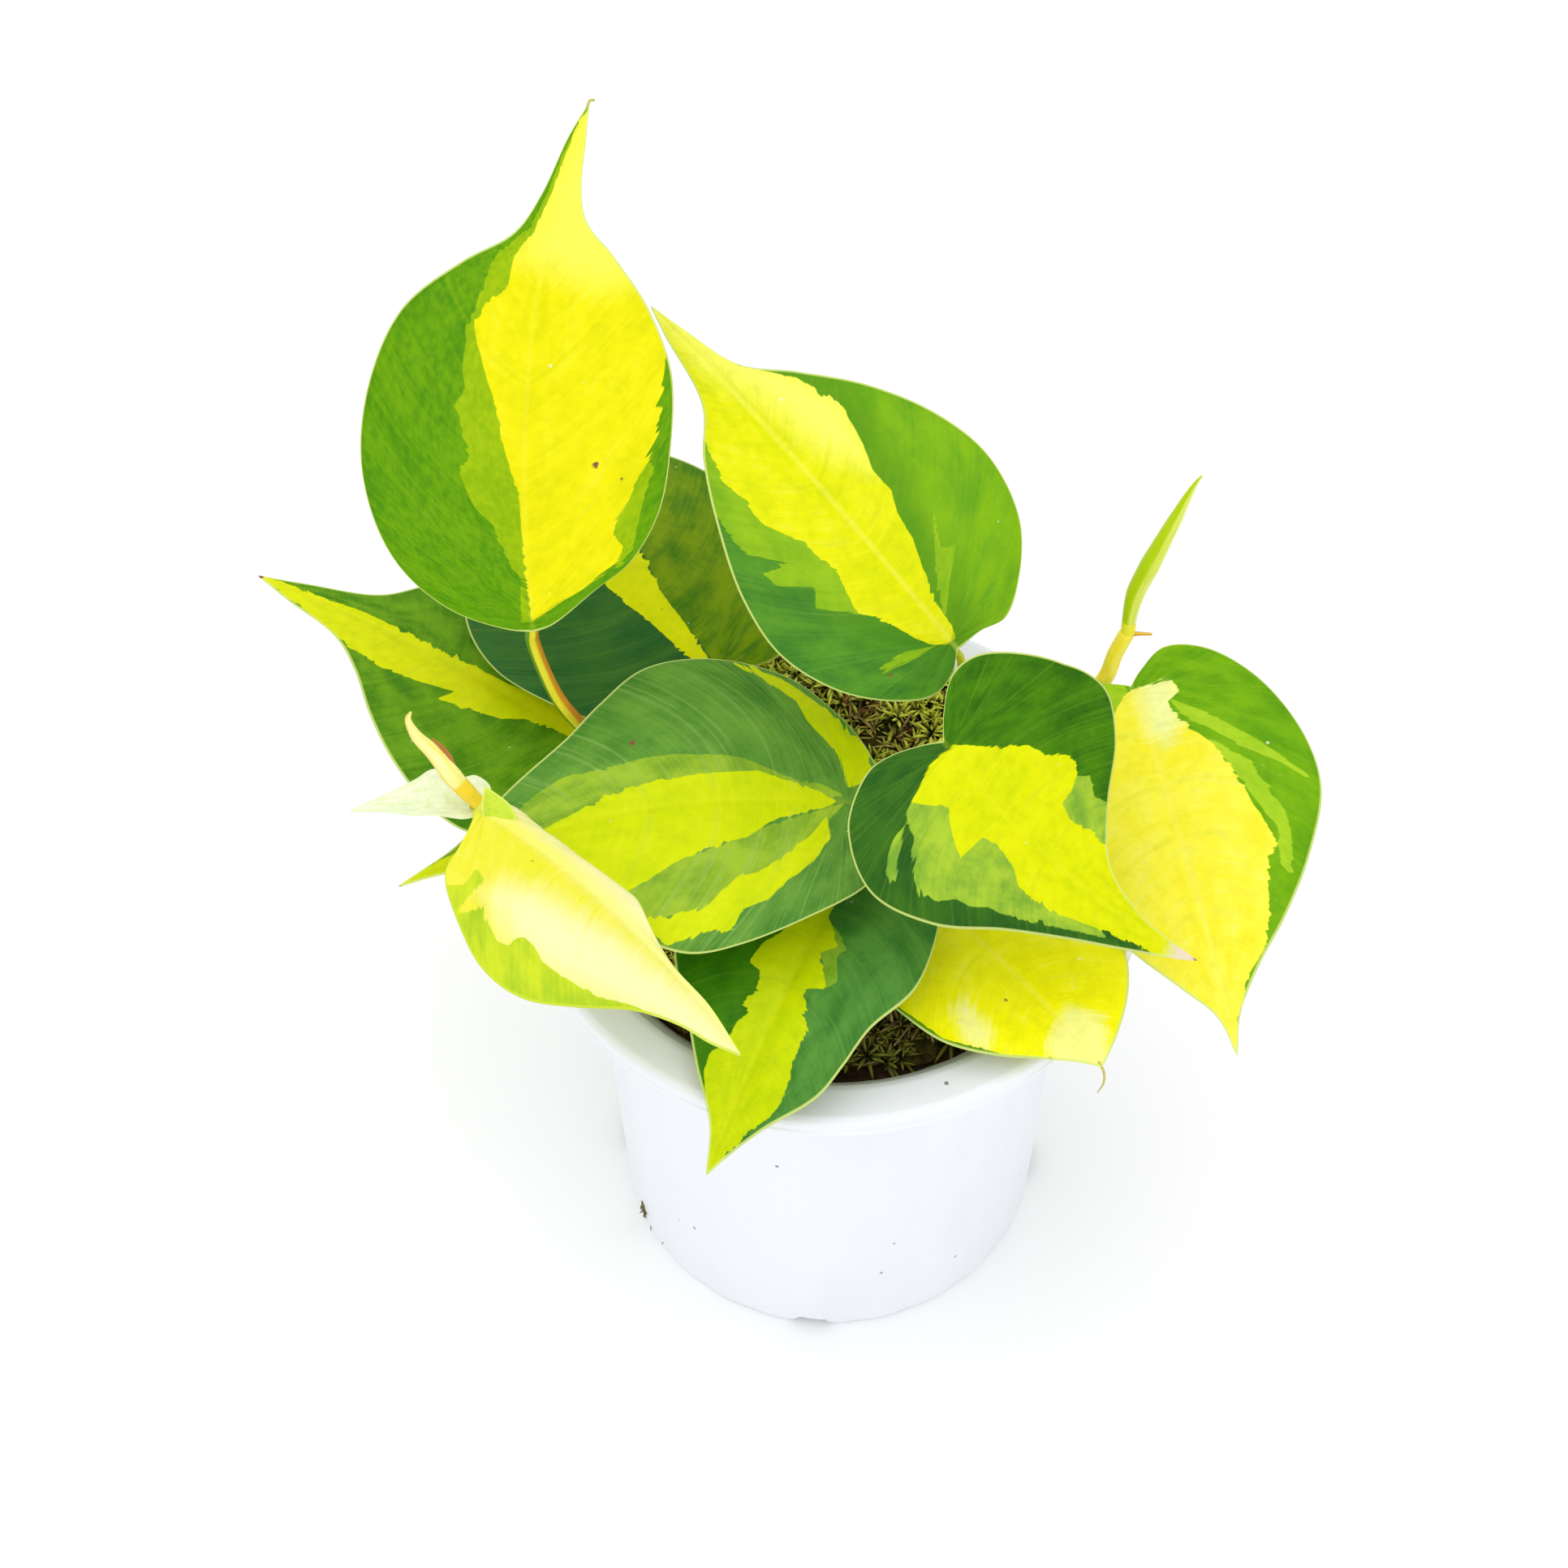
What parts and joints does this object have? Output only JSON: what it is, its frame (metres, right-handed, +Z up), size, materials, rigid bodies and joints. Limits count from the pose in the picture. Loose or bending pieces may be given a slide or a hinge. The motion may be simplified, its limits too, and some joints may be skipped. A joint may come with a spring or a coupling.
{
  "type": "potted brasil philodendron",
  "caption": "Potted brasil philodendron: heart-shaped green leaves splashed yellow on short vines in a round white nursery pot with mossy soil.",
  "frame": {"origin": "centre of the pot's foot, on the surface that the pot stands on", "axes": "+Z up along the pot's axis, -Y towards the front with the lowest leaves, +X to the right seen from the front"},
  "size_m": [0.2176, 0.1893, 0.2079],
  "materials": {
    "pot_plastic": "satin",
    "soil": "matte",
    "moss": "matte",
    "stem": "satin",
    "leaf_green": "satin",
    "leaf_lime": "satin",
    "leaf_yellow": "satin",
    "leaf_cream": "satin",
    "shoot": "satin",
    "sheath": "matte"
  },
  "bodies": {
    "root": {"pot": "pot_plastic", "soil": "soil", "moss_mat": "moss", "vine_back": "stem", "vine_left": "stem", "vine_right": "stem", "leaf_top_left": "leaf_lime", "leaf_top_right": "leaf_green", "leaf_back": "leaf_green", "leaf_left": "leaf_green", "leaf_centre": "leaf_lime", "leaf_young": "leaf_cream", "leaf_middle_right": "leaf_lime", "leaf_right": "leaf_yellow", "leaf_front": "leaf_green", "leaf_lower_right": "leaf_yellow", "shoot_tip": "shoot", "sheath": "sheath", "rolled_leaf": "leaf_lime"}
  },
  "joints": []
}
